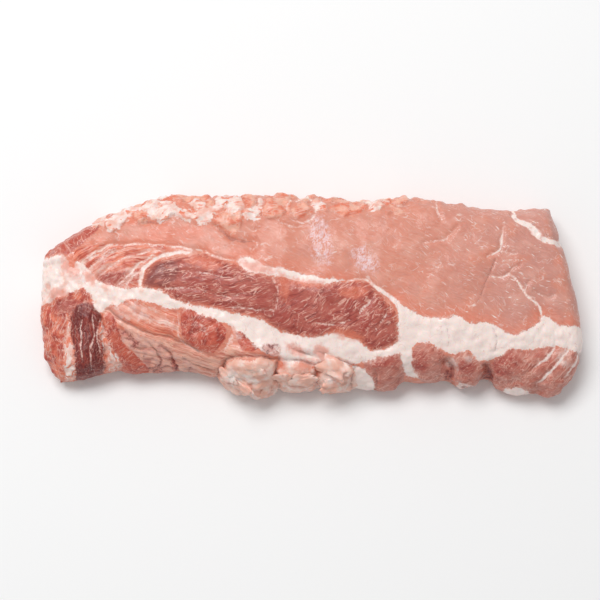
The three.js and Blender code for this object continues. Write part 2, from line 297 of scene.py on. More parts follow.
# The same, then how deep the crease is in millimetres
CREASES = [
    ([(84.2, 69), (82.8, 60.5), (81.7, 52.5), (80.5, 46)], 0.4, 0.9),
    ([(11.7, 44.5), (16.2, 35.5), (20.7, 30.5), (25.6, 27), (29.2, 20.5)], 1.3, 1.2),
    ([(22.3, 23.5), (23.6, 20.5), (24.4, 16.5), (25.7, 9.5)], 1.5, 1.8),
    ([(46.3, 23.5), (48.3, 21.5), (50.5, 19.2)], 2.0, 1.6),
    ([(51.2, 22), (52.8, 19.5), (53.9, 17.5)], 2.0, 1.6),
    ([(44.2, 18), (43.4, 11.5), (43.9, 4)], 1.8, 2.6),
    ([(51.4, 16), (50.9, 9.5), (51.3, 3)], 1.6, 2.0),
    ([(43.5, 17), (47, 17), (50.8, 14.8)], 1.2, 1.2),
    ([(51.5, 14.8), (54.5, 17.3), (58.5, 13.5)], 1.2, 1.2),
    ([(32.6, 9), (34, 16.5), (36.5, 19.2), (40, 19.3), (43.8, 17.5)], 1.6, 2.6),
    ([(58.2, 13), (57.4, 7), (58, 2)], 1.2, 1.3),
    ([(61.8, 13), (62.1, 7), (61.7, 2)], 1.0, 1.0),
    ([(75.2, 16), (75.9, 11.5), (75.4, 4)], 3.2, 3.6),
    ([(82.4, 13.5), (82.8, 10.5), (82.8, 4)], 3.2, 3.2),
    ([(9.8, 43), (11.3, 36), (11, 28), (12, 18)], 1.2, 1.4),
    ([(32, 86), (34.5, 80), (37, 77.5), (39.5, 78.5)], 1.2, 1.2),
    ([(14.6, 34), (16, 29.5), (17.3, 26)], 1.3, 1.2),
    ([(19, 27), (21, 22), (22, 17), (21.5, 13)], 1.2, 1.3),
    ([(27.5, 14), (27, 9), (28.5, 5)], 1.2, 1.2),
    ([(17, 24.5), (18.3, 22.8), (19.3, 23.5)], 1.0, 0.8),
    ([(21.5, 12), (23.5, 14.5), (25, 11)], 0.9, 0.8),
    ([(26.5, 18), (29.5, 14), (32, 12)], 1.0, 0.9),
    ([(75, 36), (75.5, 30), (75, 24)], 0.3, 0.5),
    ([(83.5, 33.5), (84.3, 27), (84, 21.5)], 0.4, 0.7),
    ([(17.8, 86), (20, 87.5), (22.5, 86.5)], 1.2, 1.0),
]

# Blots: the middle, as above, then half the length and half the width in millimetres, and the turn in
# degrees. Glazes are thin fat that veils the meat.
BLOTS = {
    # The sheen patches are painted sheen and glints, where the wet thin skin catches the light
    "films": [(51.7, 78, 17, 7, -80), (60, 68, 10, 7, -45)],
    "stains": [(44.8, 55, 9, 3.5, -78), (55, 13, 7, 3, 10), (49, 15, 8, 3, 0), (3, 51, 7, 4, 10),
        (9, 60, 6, 4, -40), (47.2, 22.5, 7, 3, -25), (51.8, 21.5, 7, 4, -50), (53, 16.5, 9, 2.5, 0),
        (44, 17.5, 7, 3, -60), (5.2, 65, 9, 4, -62), (56.8, 30.5, 10, 4, -15), (39.5, 65, 14, 3, -14),
        (49, 56.5, 12, 3, -8), (30, 67, 12, 4, -10), (58, 52, 9, 4, 5)],
    "glazes": [(17.2, 42, 15, 6, -8), (22.5, 38, 9, 3, -30), (10.5, 66, 8, 3, 50), (16, 60, 7, 3, 60),
        (62.5, 20, 9, 2.5, 20), (80, 20, 8, 3, 10), (97, 18, 5, 6, 40), (36, 30, 6, 2, -60),
        (76, 14, 4, 6, 0), (2, 58, 6, 7, 0)],
    "dark": [(13.3, 59, 15, 5, 5), (4.6, 44, 8, 6, 0), (63.5, 17, 12, 4, 15), (86, 16, 9, 7, 40),
        (70, 17, 7, 7, 0), (78.6, 14, 6, 6, 0)],
    # Blood: real blood spots, and painted shade in the hollows between the rib ends and in the folds of the
    # silverskin
    "blood": [(42.3, 23, 5, 3.5, 0), (17.5, 25.5, 2.5, 2.5, 0), (21.5, 12, 6, 2, -30),
        (80.5, 3, 10, 2.5, 0), (15.5, 30, 7, 2, -35), (24.8, 13, 2, 7, 15), (28, 9, 4, 3, 0),
        (75.4, 9, 3, 6, 0), (82.6, 8, 4, 5, 0)],
}

# The ways that strands run
STRANDS = [
    [(9.6, 48), (14.5, 39.5), (20, 31), (25.5, 25), (31, 19), (38, 15), (44, 13)],
    [(5.5, 60), (8.5, 68), (12.5, 73.5), (18, 76.5), (25, 77)],
    [(5.2, 50), (5.6, 35), (6.2, 20), (6.8, 2)],
]


def from_srgb(red, green, blue):
    """A colour from its 8-bit sRGB values, in Blender's linear values."""
    return tuple(
        value / 12.92 if value <= 0.04045 else ((value + 0.055) / 1.055) ** 2.4
        for value in (red / 255, green / 255, blue / 255)
    )


def colour_setting(name, description, default):
    return bpy.props.FloatVectorProperty(
        name=name, description=description, subtype="COLOR", size=3, min=0, max=1, default=default
    )


def length_setting(name, description, default):
    return bpy.props.FloatProperty(
        name=name, description=description, unit="LENGTH", min=0, default=default
    )


class RibRackShape(bpy.types.PropertyGroup):
    """How far the skin of the meat is worked up from the CAD slab"""

    wander: length_setting("Wander", "How far the outlines wander from their smooth lines", 1.3 * MM)
    muscle_swell: length_setting("Muscle swell", "How far a muscle swells between its seams", 1.4 * MM)
    seam_depth: length_setting("Seam depth", "How deep a seam lies between two muscles", 0.8 * MM)
    lump_swell: length_setting("Lump swell", "How far a loose lump of fat swells out", 1.2 * MM)
    lobule_size: length_setting("Lobule size", "Width of the beads on a lump of fat", 6.5 * MM)
    lobule_height: length_setting("Lobule height", "How far the beads of fat stand up", 1.0 * MM)
    flap_height: length_setting("Flap height", "Thickness of the torn flaps along the back", 1.5 * MM)
    ripple: length_setting("Ripple", "Height of the slow ripples of the whole skin", 1.3 * MM)
    grain_height: length_setting("Grain height", "Height of the fine unevenness of the skin", 0.5 * MM)
    strand_height: length_setting("Strand height", "How far strands of fat and skin stand up", 1.0 * MM)
    ragged: length_setting("Ragged edge", "How far the trimmed edges are torn in and out", 2.0 * MM)


class RibRackColours(bpy.types.PropertyGroup):
    """The colours of the meat"""

    loin: colour_setting("Loin", "Pale muscle of the loin", from_srgb(219, 150, 130))
    loin_mauve: colour_setting("Loin end", "Greyer muscle at the loin end", from_srgb(208, 145, 131))
    loin_warm: colour_setting("Warm loin", "Warmer patches of the loin", from_srgb(230, 128, 100))
    blade: colour_setting("Blade muscle", "Dark muscle of the blade end", from_srgb(176, 82, 72))
    blade_tip: colour_setting("Blade tip", "Greyer tip of the dark muscle", from_srgb(148, 82, 76))
    red: colour_setting("Red muscle", "Small muscles at the front and the blade end", from_srgb(192, 82, 66))
    front: colour_setting("Front muscle", "Muscle between the rib ends", from_srgb(200, 118, 102))
    orange: colour_setting("Thin muscle", "Muscle that shows through a film of fat", from_srgb(236, 134, 104))
    cross_grain: colour_setting("Cut muscle", "Muscle cut across its grain", from_srgb(114, 38, 38))
    fat: colour_setting("Fat", "Clean fat", from_srgb(251, 233, 226))
    fat_pink: colour_setting("Pink fat", "Fat stained by meat juice", from_srgb(238, 184, 168))
    silverskin: colour_setting("Silverskin", "Thin grey skin over muscle", from_srgb(216, 164, 153))
    tan: colour_setting("Tan strands", "Strands of fat and skin at the front", from_srgb(243, 184, 161))
    # Juice: besides its dark strands and specks, it is the painted shade laid in the creases
    juice: colour_setting("Juice", "Dark juice in creases and spots", from_srgb(104, 34, 32))
    # Film: painted sheen, the colour laid where the wet skin catches the light
    film: colour_setting("Film", "Glistening skin where light catches it", from_srgb(246, 224, 230))
    bone: colour_setting("Bone", "Rib bone under the skin of the underside", from_srgb(222, 190, 172))

class RibRackStage(bpy.types.PropertyGroup):
    """Floor, light and camera"""

    floor: colour_setting("Floor", "Colour of the floor", (0.95, 0.95, 0.95))
    lens: bpy.props.FloatProperty(name="Lens", description="Focal length, in millimetres", default=100)
    key_power: bpy.props.FloatProperty(
        name="Key light", description="Power of the big soft light", unit="POWER", default=41
    )
    sky: bpy.props.FloatProperty(name="Sky", description="Strength of the even light", default=0.43)


# Reading the outlines


def curve_through(points, closed):
    """Places along a smooth curve through points that are given in percent of the slab."""
    corners = np.array(points) / 100 * (LENGTH, WIDTH)
    if closed:
        rows = [np.roll(corners, shift, axis=0) for shift in (1, 0, -1, -2)]
    else:
        padded = np.vstack([corners[:1], corners, corners[-1:]])
        rows = [padded[i : len(padded) - 3 + i] for i in range(4)]
    before, start, end, after = rows
    share = (np.arange(CURVE_STEPS) / CURVE_STEPS)[:, None, None]
    places = 0.5 * (
        2 * start
        + (end - before) * share
        + (2 * before - 5 * start + 4 * end - after) * share**2
        + (3 * start - before - 3 * end + after) * share**3
    )
    places = places.transpose(1, 0, 2).reshape(-1, 2)
    return places if closed else np.vstack([places, corners[-1:]])


def beyond_line(line, places, half_widths):
    """How far each place lies beyond a line of straight steps, less the line's half width there."""
    nearest = np.full(len(places), REACH)
    for start, end, from_half, to_half in zip(line[:-1], line[1:], half_widths[:-1], half_widths[1:]):
        step = end - start
        share = np.clip((places - start) @ step / max(step @ step, 1e-12), 0, 1)
        gap = places - start - share[:, None] * step
        distance = np.hypot(gap[:, 0], gap[:, 1]) - from_half - share * (to_half - from_half)
        nearest = np.minimum(nearest, distance)
    return nearest


def is_inside(line, places):
    """Whether each place lies within a closed line."""
    within = np.zeros(len(places), bool)
    across = places[:, 1]
    for start, end in zip(line, np.roll(line, -1, axis=0)):
        spans = (start[1] > across) != (end[1] > across)
        slope = (end[0] - start[0]) / (end[1] - start[1] if end[1] != start[1] else 1)
        within ^= spans & (places[:, 0] < start[0] + slope * (across - start[1]))
    return within


def near(line, places):
    """Which places lie within REACH of the box round a line."""
    low, high = line.min(axis=0) - REACH, line.max(axis=0) + REACH
    return np.all((places > low) & (places < high), axis=1)


def outline_depth(outlines, places):
    """How far inside the nearest outline each place lies: positive within one, negative outside them all."""
    depth = np.full(len(places), -REACH)
    for points in outlines:
        line = curve_through(points, closed=True)
        close = near(line, places)
        ring = np.vstack([line, line[:1]])
        distance = beyond_line(ring, places[close], np.zeros(len(ring)))
        signed = np.where(is_inside(line, places[close]), distance, -distance)
        depth[close] = np.maximum(depth[close], signed)
    return depth


def tapered(line, width):
    """Half widths along a line that narrows to its ends."""
    steps = np.hypot(*np.diff(line, axis=0).T)
    run = np.concatenate([[0], np.cumsum(steps)])
    from_end = np.minimum(run, run[-1] - run)
    return width * MM / 2 * soft_step(from_end, -TAPER / 3, TAPER)


def stroke_depth(strokes, places):
    """How far inside the nearest stroke each place lies, as outline_depth does for outlines."""
    depth = np.full(len(places), -REACH)
    for points, width, *_ in strokes:
        line = curve_through(points, closed=False)
        close = near(line, places)
        beyond = beyond_line(line, places[close], tapered(line, width))
        depth[close] = np.maximum(depth[close], -beyond)
    return depth


def blot_depth(blots, places):
    """How far inside the nearest blot each place lies, as outline_depth does for outlines."""
    depth = np.full(len(places), -REACH)
    for along, across, half_length, half_width, turn in blots:
        away = places - np.array((along / 100 * LENGTH, across / 100 * WIDTH))
        angle = math.radians(turn)
        lengthwise = away @ (math.cos(angle), math.sin(angle)) / (half_length * MM)
        widthwise = away @ (-math.sin(angle), math.cos(angle)) / (half_width * MM)
        depth = np.maximum(depth, (1 - np.hypot(lengthwise, widthwise)) * half_width * MM)
    return depth


def soft_step(value, start, end):
    """0 at start, 1 at end, and smooth between them."""
    share = np.clip((value - start) / (end - start), 0, 1)
    return share * share * (3 - 2 * share)


def noise_shift(seed):
    """Where in the noise a seed starts."""
    return Vector((seed * 7.31, seed * 3.17, seed * 5.23))


def rough(points, size, seed):
    """Smooth noise at each point, with bumps of about the given size."""
    shift = noise_shift(seed)
    return np.array([noise.noise(Vector(p) / size + shift) for p in points])


def rough_twice(points, coarse, fine, share, seeds):
    """Noise of two sizes in millimetres, the fine one at a share of the strength of the coarse one."""
    return rough(points, coarse * MM, seeds[0]) + share * rough(points, fine * MM, seeds[1])


def beads(points, size, seed):
    """Round beads of about the given size: 1 on top of each and 0 in the gaps."""
    shift = noise_shift(seed)
    gaps = [noise.voronoi(Vector(p) / size + shift)[0] for p in points]
    return 1 - np.clip([two[0] / max(two[1], 1e-6) for two in gaps], 0, 1) ** 2


def folded(points, size, seed):
    """Sharp folds of about the given size: 1 along each and lower between them."""
    return 1 - 2 * np.abs(rough(points, size, seed))


def as_seen(points):
    """Where each point appears to the eye: its place along and across the slab, from the front corner."""
    away = points - np.array(EYE_TARGET)
    scale = EYE_DISTANCE / (EYE_DISTANCE - away @ np.array(EYE_BACK))
    seen = np.column_stack([away[:, 0] * scale, away @ np.array(EYE_UP) * scale])
    low, high = seen.min(axis=0), seen.max(axis=0)
    return (seen - low) / (high - low) * (LENGTH, WIDTH)


def wandering_places(points, wander):
    """The places as seen, moved about a little, so that every line drawn on them wanders."""
    moves = [rough_twice(points, 9, 3, 0.45, seeds) for seeds in ((11, 12), (13, 14))]
    return as_seen(points) + wander * np.column_stack(moves)


# The slab


def new_piece(name, shell):
    """An object in the scene made from a bmesh, which is then freed."""
    mesh = bpy.data.meshes.new(name)
    shell.to_mesh(mesh)
    shell.free()
    piece = bpy.data.objects.new(name, mesh)
    bpy.context.scene.collection.objects.link(piece)
    return piece


def apply_modifiers(piece):
    """Makes what a piece's modifiers show its own mesh."""
    shown = piece.evaluated_get(bpy.context.evaluated_depsgraph_get())
    finished = bpy.data.meshes.new_from_object(shown)
    piece.modifiers.clear()
    piece.data = finished


def smooth_shell():
    """A closed, smooth copy of the CAD slab, with small cells on top and larger ones underneath."""
    shell = bmesh.new()
    shell.from_mesh(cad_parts["rack"].data)
    bmesh.ops.remove_doubles(shell, verts=shell.verts, dist=WELD)
    bmesh.ops.join_triangles(
        shell, faces=shell.faces, angle_face_threshold=math.pi, angle_shape_threshold=math.pi
    )
    piece = new_piece("rack_meat", shell)
    smoothing = piece.modifiers.new("Smooth", "SUBSURF")
    smoothing.levels = smoothing.render_levels = 1
    apply_modifiers(piece)
    refine_top(piece.data)
    return piece


def refine_top(mesh):
    """Cuts the top of the slab into smaller cells, and smooths them."""
    shell = bmesh.new()
    shell.from_mesh(mesh)
    on_top = {edge for face in shell.faces if face.normal.z > TOP_LEAN for edge in face.edges}
    bmesh.ops.subdivide_edges(shell, edges=list(on_top), cuts=TOP_CUTS, use_grid_fill=True)
    upper = [vert for vert in shell.verts if vert.normal.z > TOP_LEAN]
    for _ in range(TOP_SMOOTHINGS):
        bmesh.ops.smooth_vert(
            shell, verts=upper, factor=0.5, use_axis_x=True, use_axis_y=True, use_axis_z=True
        )
    shell.to_mesh(mesh)
    shell.free()


def read_points(mesh):
    """The points of a mesh and the way each faces, as rows."""
    points = np.empty(len(mesh.vertices) * 3)
    facing = np.empty(len(mesh.vertices) * 3)
    mesh.vertices.foreach_get("co", points)
    mesh.vertices.foreach_get("normal", facing)
    return points.reshape(-1, 3), facing.reshape(-1, 3)


def rib_nearness(points):
    """How near each point is to the middle of a rib: 1 at the middle, 0 halfway to the next."""
    lean = 2 * points[:, 1] / WIDTH
    place = (points[:, 0] + LENGTH / 2 - RIB_BOW * lean * lean) / RIB_PITCH
    return 1 - 2 * np.abs(place - np.floor(place) - 0.5)


def read_layers(places):
    """The depth in each layer of the meat, in metres, by the layer's name."""
    layers = {name: outline_depth(outlines, places) for name, outlines in OUTLINES.items()}
    layers["seams"] = stroke_depth(SEAMS, places)
    layers["creases"] = stroke_depth(CREASES, places)
    layers.update((name, blot_depth(blots, places)) for name, blots in BLOTS.items())
    return layers


def crease_cut(places):
    """How deep the creases cut in at each place."""
    cut = np.zeros(len(places))
    for points, width, depth in CREASES:
        line = curve_through(points, closed=False)
        close = near(line, places)
        distance = beyond_line(line, places[close], np.zeros(len(line)))
        cut[close] = np.maximum(cut[close], depth * MM * np.exp(-((distance / (width * MM)) ** 2)))
    return cut


def strand_places(points, places):
    """For each point, its place along and across the nearest line of strands, and its height."""
    nearest = np.full(len(places), np.inf)
    along = np.zeros(len(places))
    for strand in STRANDS:
        line = curve_through(strand, closed=False)
        run = 0.0
        for start, end in zip(line[:-1], line[1:]):
            step = end - start
            length = np.hypot(*step)
            share = np.clip((places - start) @ step / length**2, 0, 1)
            gap = places - start - share[:, None] * step
            distance = np.hypot(gap[:, 0], gap[:, 1])
            closer = distance < np.abs(nearest)
            side = np.sign(step[0] * gap[:, 1] - step[1] * gap[:, 0])
            nearest = np.where(closer, distance * side, nearest)
            along = np.where(closer, run + share * length, along)
            run += length
    return np.column_stack([along, nearest, points[:, 2]])


def skin_height(points, places, strands, layers, shape):
    """How far the skin stands out from the smooth slab at each point."""
    height = shape.ripple * rough_twice(points, 26, 10, 0.45, (1, 7))
    height += shape.grain_height * fine_relief(points, layers)
    for name in ("blade", "reds", "front_reds", "cross_grain"):
        height += shape.muscle_swell * soft_step(layers[name], -1 * MM, 7 * MM)
    height += shape.strand_height * strand_relief(strands, layers)
    seam = np.exp(-((np.maximum(-layers["seams"], 0) / (1.3 * MM)) ** 2))
    height -= shape.seam_depth * seam * (layers["fat"] < 0)
    height += fat_relief(points, layers, shape)
    height += shape.flap_height * flap_relief(points, layers)
    return height - crease_cut(places)


def fine_relief(points, layers):
    """Fine unevenness, stronger on every muscle and skin than on the plain loin."""
    busy = np.max([depth for name, depth in layers.items() if name not in ("films", "stains")], axis=0)
    uneven = 0.3 + 0.7 * soft_step(busy, -1 * MM, 2 * MM)
    return uneven * rough_twice(points, 4.5, 2, 0.5, (2, 8))


def strand_relief(strands, layers):
    """Strands that stand up from the muscles and skins that have them."""
    stranded = [layers[name] for name in ("fan", "tan", "orange", "silverskin", "gristle")]
    lines = rough(strands / (18, 1, 1), 2.4 * MM, seed=12)
    return soft_step(np.max(stranded, axis=0), -0.5 * MM, 2 * MM) * lines


def fat_relief(points, layers, shape):
    """Beads on the fat, and the swelling and folds of its loose lumps."""
    fatty = soft_step(np.maximum(layers["fat"], layers["lumps"]), -0.5 * MM, 2 * MM)
    beaded = 0.65 * shape.lobule_height * fatty * beads(points, shape.lobule_size * 1.2, seed=3)
    lobules = beads(points, shape.lobule_size, seed=4) + folded(points / (2.2, 1, 1), 4.5 * MM, 14)
    lumpy = soft_step(layers["lumps"], -1 * MM, 4 * MM)
    return beaded + lumpy * (shape.lump_swell + shape.lobule_height * lobules)


def flap_relief(points, layers):
    """Torn, ridged flaps of fat and muscle along the back."""
    flaps = np.maximum(layers["flaps"], 0.7 * layers["back_reds"]) + 2.5 * MM * rough(points, 5 * MM, seed=9)
    return soft_step(flaps, -0.3 * MM, 0.9 * MM) * (0.4 + 0.8 * folded(points, 7 * MM, 10))


def ragged_edge(points, shape):
    """How far the trimmed back, blade end and front are torn in and out."""
    edge = np.maximum(
        soft_step(points[:, 1], WIDTH * 0.36, WIDTH * 0.46),
        soft_step(-points[:, 0], LENGTH * 0.44, LENGTH * 0.48),
    )
    edge = np.maximum(edge, 0.8 * soft_step(-points[:, 1], WIDTH * 0.38, WIDTH * 0.46))
    return shape.ragged * edge * rough_twice(points, 9, 4, 0.6, (5, 6))


def patch_back(points, facing, layers):
    """Spreads patches of the fat and thin muscle of the back edge down the back wall."""
    on_back = soft_step(facing[:, 1], 0.35, 0.75)
    patches = PATCH_DEPTH * rough(points, PATCH_SIZE, seed=15)
    layers["flaps"] += on_back * (patches - PATCH_LIMIT)
    layers["back_reds"] -= on_back * patches


def shape_slab(piece, shape):
    """Works up the skin of the slab, and keeps the layers on it."""
    points, facing = read_points(piece.data)
    places = wandering_places(points, shape.wander)
    layers = read_layers(places)
    patch_back(points, facing, layers)
    strands = strand_places(points, places)
    height = skin_height(points, places, strands, layers, shape) + ragged_edge(points, shape)
    upper = soft_step(facing[:, 2], -0.75, 0.0)
    points += facing * (height * upper)[:, None]
    points[:, 2] = np.maximum(points[:, 2], 0)
    piece.data.vertices.foreach_set("co", points.ravel())
    piece.data.update()
    under = UNDER_HEIGHT - UNDER_FADE * soft_step(facing[:, 2], -0.5, 0.4)
    layers["under"] = under - points[:, 2]
    layers["rib"] = rib_nearness(points) * MM
    keep_on_mesh(piece.data, layers, strands)


def keep_on_mesh(mesh, layers, strands):
    """Keeps each layer's depth, in millimetres, and the places on the strands for the material."""
    for name, depth in layers.items():
        kept = mesh.attributes.new(name, "FLOAT", "POINT")
        kept.data.foreach_set("value", (depth / MM).astype(np.float32))
    kept = mesh.attributes.new("strands", "FLOAT_VECTOR", "POINT")
    kept.data.foreach_set("vector", strands.ravel().astype(np.float32))


# The trimmings


def scatter(chosen, places, count, gap, dice):
    """Up to a number of the chosen points, picked at random, that stay a gap apart as seen."""
    picked = []
    tries = dice.sample(list(np.flatnonzero(chosen)), min(int(chosen.sum()), count * 12))
    for index in tries:
        if all(np.hypot(*(places[index] - places[other])) > gap for other in picked):
            picked.append(index)
        if len(picked) == count:
            break
    return picked


def add_crumb(shell, spot, normal, half_sizes, turn, seed):
    """Adds one rough closed crumb, laid flat on a spot of the slab, and keeps where its rim is."""
    verts = bmesh.ops.create_icosphere(shell, subdivisions=4, radius=1.0)["verts"]
    shift = Vector((seed * 1.7, seed * 2.9, seed * 0.7))
    rim = shell.verts.layers.float["rim"]
    for vert in verts:
        place = vert.co.copy()
        vert[rim] = 1 - max(0, min(1, (place.z + 0.1) / 0.6))
        swell = sum(share * noise.noise(place * fineness + shift) for share, fineness in TRIMMING_BUMPS)
        warp = TRIMMING_WARP * noise.noise(place * 1.6 - shift)
        vert.co = place * (1 + swell) + Vector((0, 0, warp))
    bmesh.ops.scale(shell, vec=half_sizes, verts=verts)
    across = Vector(normal).cross((1, 0, 0)).normalized()
    laid = Matrix((across.cross(normal), across, normal)).transposed() @ Matrix.Rotation(turn, 3, "Z")
    bmesh.ops.rotate(shell, cent=(0, 0, 0), matrix=laid, verts=verts)
    bmesh.ops.translate(shell, vec=spot, verts=verts)


def lay_trimmings(slab):
    """One piece of all the crumbs of fat on the lumps, each sunk a little into the slab."""
    dice = random.Random(4)
    points, facing = read_points(slab.data)
    lumps = np.empty(len(points), np.float32)
    slab.data.attributes["lumps"].data.foreach_get("value", lumps)
    chosen = (facing[:, 2] > TRIMMING_FACING) & (lumps > TRIMMING_INSIDE)
    shell = bmesh.new()
    shell.verts.layers.float.new("rim")
    for index in scatter(chosen, as_seen(points), TRIMMING_COUNT, TRIMMING_GAP, dice):
        scale = dice.uniform(*TRIMMING_SPREAD)
        sizes = [size * scale * dice.uniform(*TRIMMING_STRETCH) for size in TRIMMING_HALF_SIZES]
        spot = points[index] - facing[index] * sizes[2] * TRIMMING_SINK
        spot[2] = max(spot[2], TRIMMING_LOWEST)
        turn = dice.uniform(-TRIMMING_TURN, TRIMMING_TURN)
        add_crumb(shell, spot, facing[index], sizes, turn, dice.uniform(0, 50))
    for vert in shell.verts:
        vert.co.z = max(vert.co.z, FLOOR_GAP)
    return new_piece("fat_trimmings", shell)


# Materials


def add(tree, kind, inputs=None, **settings):
    """Adds a shader node, sets it up and fills in its inputs, by name or number, from values or sockets."""
    node = tree.nodes.new("ShaderNode" + kind)
    for name, value in settings.items():
        setattr(node, name, value)
    for name, value in (inputs or {}).items():
        plug(tree, node.inputs[name], value)
    return node


def plug(tree, socket, value):
    """Joins a socket to another socket, or gives it a value."""
    if isinstance(value, bpy.types.NodeSocket):
        tree.links.new(value, socket)
    else:
        socket.default_value = value


def calc(tree, operation, first, second=0.0, third=0.0):
    """The output of one Math node."""
    return add(tree, "Math", {0: first, 1: second, 2: third}, operation=operation).outputs[0]


def times(tree, first, second):
    """Two values multiplied."""
    return calc(tree, "MULTIPLY", first, second)


def ramp(tree, value, start, end, low=0.0, high=1.0):
    """A smooth step from low to high as the value goes from start to end."""
    inputs = {"Value": value, "From Min": start, "From Max": end, "To Min": low, "To Max": high}
    return add(tree, "MapRange", inputs, interpolation_type="SMOOTHSTEP").outputs["Result"]


def noise_field(tree, vector, size, detail=2.0):
    """Noise with bumps of about a size in millimetres."""
    return add(tree, "TexNoise", {"Vector": vector, "Scale": 1 / (size * MM), "Detail": detail}).outputs


def mix(tree, share, first, second):
    """One colour over another."""
    node = add(tree, "Mix", {0: share}, data_type="RGBA")
    for number, colour in ((6, first), (7, second)):
        plain = not isinstance(colour, bpy.types.NodeSocket)
        plug(tree, node.inputs[number], (*colour, 1) if plain else colour)
    return node.outputs[2]


def new_group(name, inputs, outputs):
    """An empty node group. Inputs and outputs are {name: default}, where a default of None is a vector."""
    tree = bpy.data.node_groups.new(name, "ShaderNodeTree")
    for sockets, side in ((inputs, "INPUT"), (outputs, "OUTPUT")):
        for label, default in sockets.items():
            kind = "NodeSocketVector" if default is None else "NodeSocketFloat"
            socket = tree.interface.new_socket(label, in_out=side, socket_type=kind)
            if default is not None:
                socket.default_value = default
    return tree, tree.nodes.new("NodeGroupInput").outputs, tree.nodes.new("NodeGroupOutput").inputs


def along_grain(tree, given, width, depth):
    """The vector turned to lie along a grain, and divided by a size in millimetres on each axis."""
    axes = {"X": given["Length"], "Y": width, "Z": depth}
    size = add(tree, "CombineXYZ", {axis: times(tree, size, MM) for axis, size in axes.items()})
    rotation = add(tree, "CombineXYZ", {"Z": given["Turn"]})
    inputs = {"Vector": given["Vector"], "Rotation": rotation.outputs[0], "Scale": size.outputs[0]}
    return add(tree, "Mapping", inputs, vector_type="TEXTURE").outputs[0]


def group_mask(name):
    """A layer's mask from its depth in millimetres, with an edge that wanders and frays."""
    inputs = {"Vector": None, "Depth": 0.0, "Wander": 1.2, "Fray": 0.8, "Softness": 0.5}
    tree, given, made = new_group(name, inputs, {"Mask": 0.0})
    depth = given["Depth"]
    for size, reach in ((3.2, given["Wander"]), (1.1, given["Fray"])):
        centred = calc(tree, "SUBTRACT", noise_field(tree, given["Vector"], size)["Fac"], 0.5)
        depth = calc(tree, "MULTIPLY_ADD", times(tree, centred, reach), 3.0, depth)
    low = times(tree, given["Softness"], -1.0)
    tree.links.new(ramp(tree, depth, low, given["Softness"]), made["Mask"])
    return tree


def group_flecks(name):
    """Marbling: short flecks of fat that lie along the grain."""
    inputs = {"Vector": None, "Turn": 0.0, "Length": 6.0, "Width": 1.2, "Amount": 0.4}
    tree, given, made = new_group(name, inputs, {"Mask": 0.0})
    place = along_grain(tree, given, given["Width"], 5.0)
    jitter = noise_field(tree, given["Vector"], 2.0, detail=1.0)["Fac"]
    cells = add(tree, "TexVoronoi", {"Vector": place, "Scale": 1.0, "Randomness": 1.0})
    chance = add(tree, "SeparateColor", {0: cells.outputs["Color"]})
    present = calc(tree, "LESS_THAN", chance.outputs[0], given["Amount"])
    reach = calc(tree, "MULTIPLY_ADD", chance.outputs[1], 0.24, 0.14)
    distance = calc(tree, "MULTIPLY_ADD", jitter, 0.16, cells.outputs["Distance"])
    distance = calc(tree, "SUBTRACT", distance, 0.08)
    fleck = ramp(tree, distance, reach, times(tree, reach, 0.3))
    tree.links.new(times(tree, present, fleck), made["Mask"])
    return tree


def group_fibres(name):
    """The grain of a muscle: fine, uneven lines that lie along it, from 0 to 1."""
    inputs = {"Vector": None, "Turn": 0.0, "Length": 14.0, "Width": 0.9}
    tree, given, made = new_group(name, inputs, {"Grain": 0.0})
    place = along_grain(tree, given, given["Width"], given["Width"])
    lines = add(tree, "TexNoise", {"Vector": place, "Scale": 1.0, "Detail": 3.0, "Distortion": 0.5})
    tree.links.new(lines.outputs["Fac"], made["Grain"])
    return tree


def group_veins(name):
    """Thin wandering veins of fat, in patches. They are drawn out along the grain to the given length."""
    inputs = {"Vector": None, "Turn": 0.0, "Length": 30.0, "Size": 12.0, "Thickness": 0.02, "Cover": 0.5}
    tree, given, made = new_group(name, inputs, {"Mask": 0.0})
    place = along_grain(tree, given, given["Size"], given["Size"])
    lines = add(tree, "TexNoise", {"Vector": place, "Scale": 1.0, "Detail": 2.0, "Distortion": 0.5})
    ridge = calc(tree, "ABSOLUTE", calc(tree, "SUBTRACT", lines.outputs["Fac"], 0.5))
    vein = ramp(tree, ridge, given["Thickness"], 0.0)
    patch = noise_field(tree, given["Vector"], 7)["Fac"]
    low, high = (calc(tree, "ADD", given["Cover"], edge) for edge in (-0.06, 0.06))
    tree.links.new(times(tree, vein, ramp(tree, patch, high, low)), made["Mask"])
    return tree


def group_fat(name):
    """Fat: how pink it is in each place, and the height of its fine lobules."""
    tree, given, made = new_group(name, {"Vector": None, "Stain": 0.5}, {"Pink": 0.0, "Height": 0.0})
    blotch = noise_field(tree, given["Vector"], 7, detail=4.0)["Fac"]
    lobules = {"Vector": given["Vector"], "Scale": 1 / (2.4 * MM)}
    cells = add(tree, "TexVoronoi", lobules, feature="SMOOTH_F1")
    fine = noise_field(tree, given["Vector"], 0.9)["Fac"]
    low = calc(tree, "SUBTRACT", 0.78, given["Stain"])
    pink = ramp(tree, blotch, low, calc(tree, "ADD", low, 0.3))
    gaps = times(tree, cells.outputs["Distance"], 0.35)
    tree.links.new(calc(tree, "ADD", pink, times(tree, gaps, 0.5)), made["Pink"])
    tree.links.new(calc(tree, "MULTIPLY_ADD", fine, 0.3, times(tree, gaps, -1.0)), made["Height"])
    return tree


def group_wetness(name):
    """How rough the wet surface is: smooth where juice stands, duller where it has dried."""
    tree, given, made = new_group(name, {"Vector": None, "Wet": 0.28, "Dry": 0.5}, {"Roughness": 0.5})
    film = ramp(tree, noise_field(tree, given["Vector"], 5, detail=4.0)["Fac"], 0.4, 0.6)
    spread = calc(tree, "SUBTRACT", given["Wet"], given["Dry"])
    tree.links.new(calc(tree, "MULTIPLY_ADD", film, spread, given["Dry"]), made["Roughness"])
    return tree


